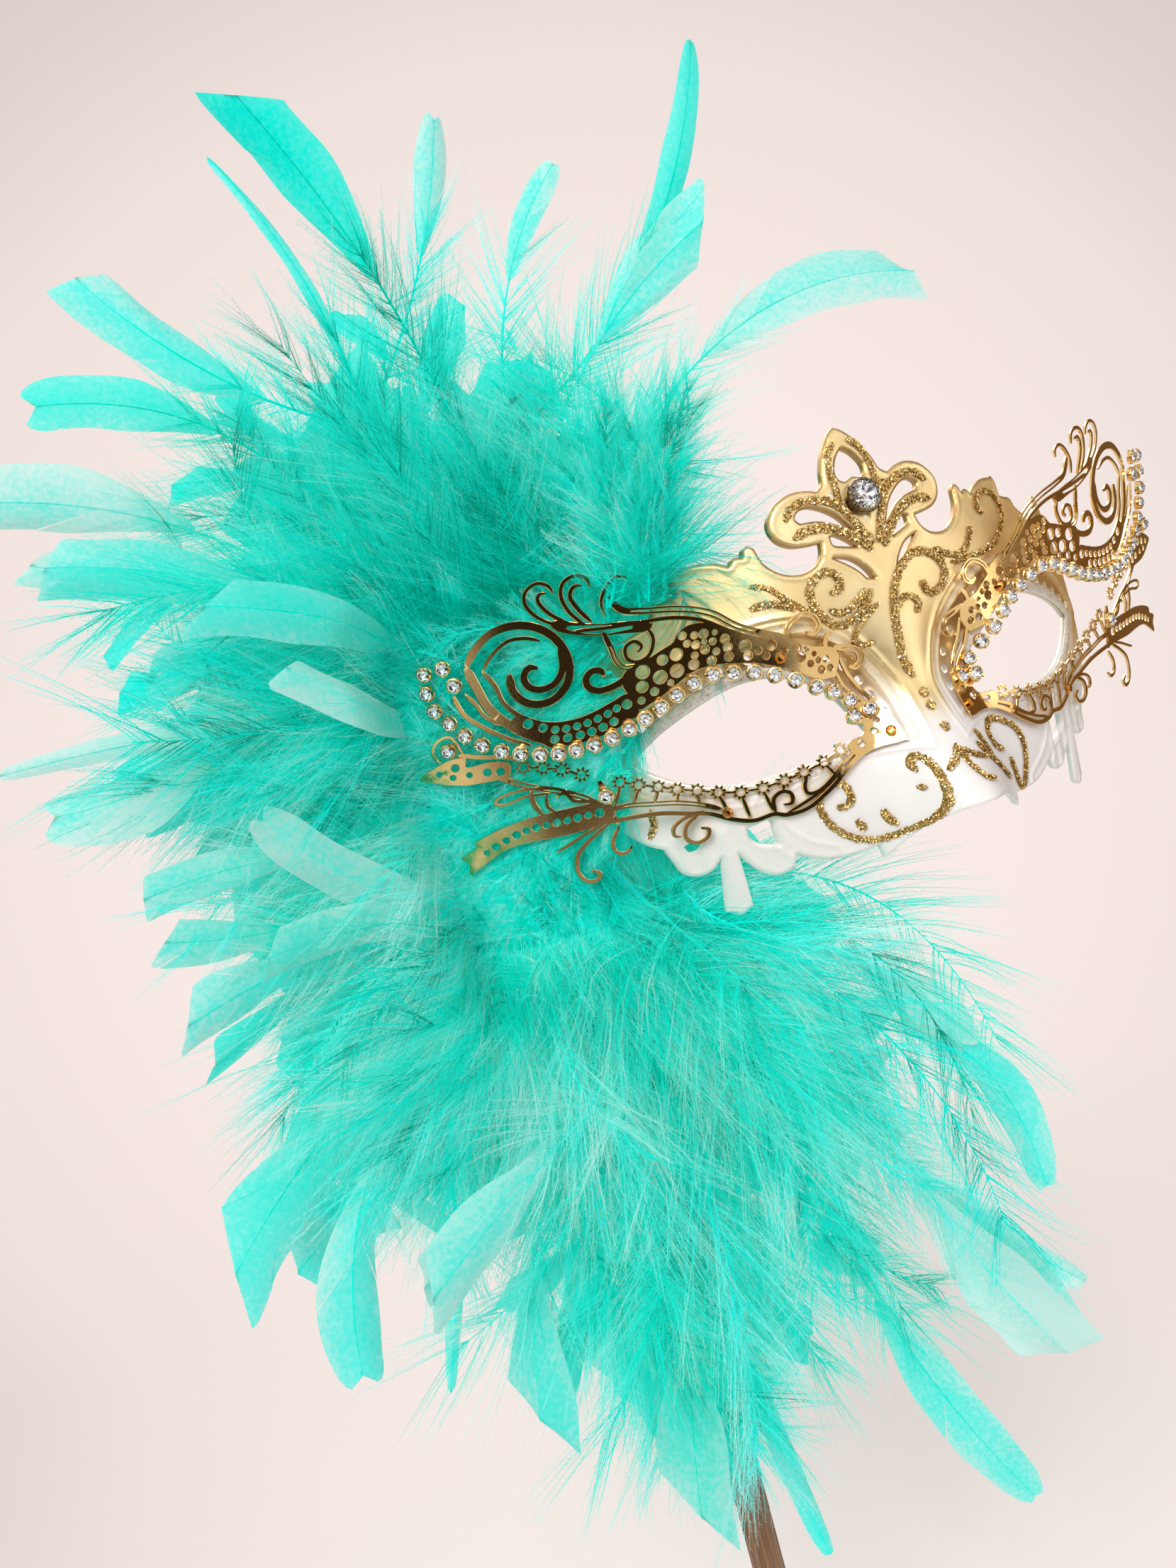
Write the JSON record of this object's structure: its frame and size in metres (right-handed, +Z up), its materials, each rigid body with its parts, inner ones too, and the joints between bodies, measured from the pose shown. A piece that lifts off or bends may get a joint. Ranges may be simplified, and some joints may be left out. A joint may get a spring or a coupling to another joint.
{
  "type": "venetian masquerade mask",
  "caption": "Half-face masquerade mask on a fluted stick, moulded gold and white face with cut metal filigree, crystal chains, glitter scrolls and a side plume of dyed feathers.",
  "frame": {"origin": "centre of the lower end of the stick", "axes": "+Z up along the stick, the mask faces -Y, the stick and the plume are on the -X side of the face"},
  "size_m": [0.2947, 0.1102, 0.4541],
  "materials": {
    "stick": "brown stained and sealed",
    "shell": "satin gold paint fading to white",
    "pearl_glitter": "pearl glitter paint",
    "gold_glitter": "coarse gold glitter in clear glue",
    "filigree": "polished gold plate",
    "cup": "polished gold plate",
    "stone": "foil-backed cut crystal",
    "setting": "darkened",
    "amber": "polished amber gold",
    "felt": "pressed felt with glue",
    "cord": "wound thread",
    "feather": "dyed turquoise down and vane"
  },
  "bodies": {
    "root": {"stick": "stick", "mask_shell": "shell", "eye_rim_left": "pearl_glitter", "eye_rim_right": "pearl_glitter", "filigree_left": "filigree", "filigree_right": "filigree", "stone_cups_left": "cup", "stone_cups_right": "cup", "stones_left": "stone", "stones_right": "stone", "rivets_left": "amber", "rivets_right": "amber", "glitter_crown": "gold_glitter", "glitter_forehead": "gold_glitter", "glitter_face": "gold_glitter", "crown_setting": "setting", "crown_gem": "stone", "backing_pad": "felt", "plume_cord": "cord", "plume_upper": "feather", "plume_side": "feather", "plume_lower": "feather"}
  },
  "joints": []
}
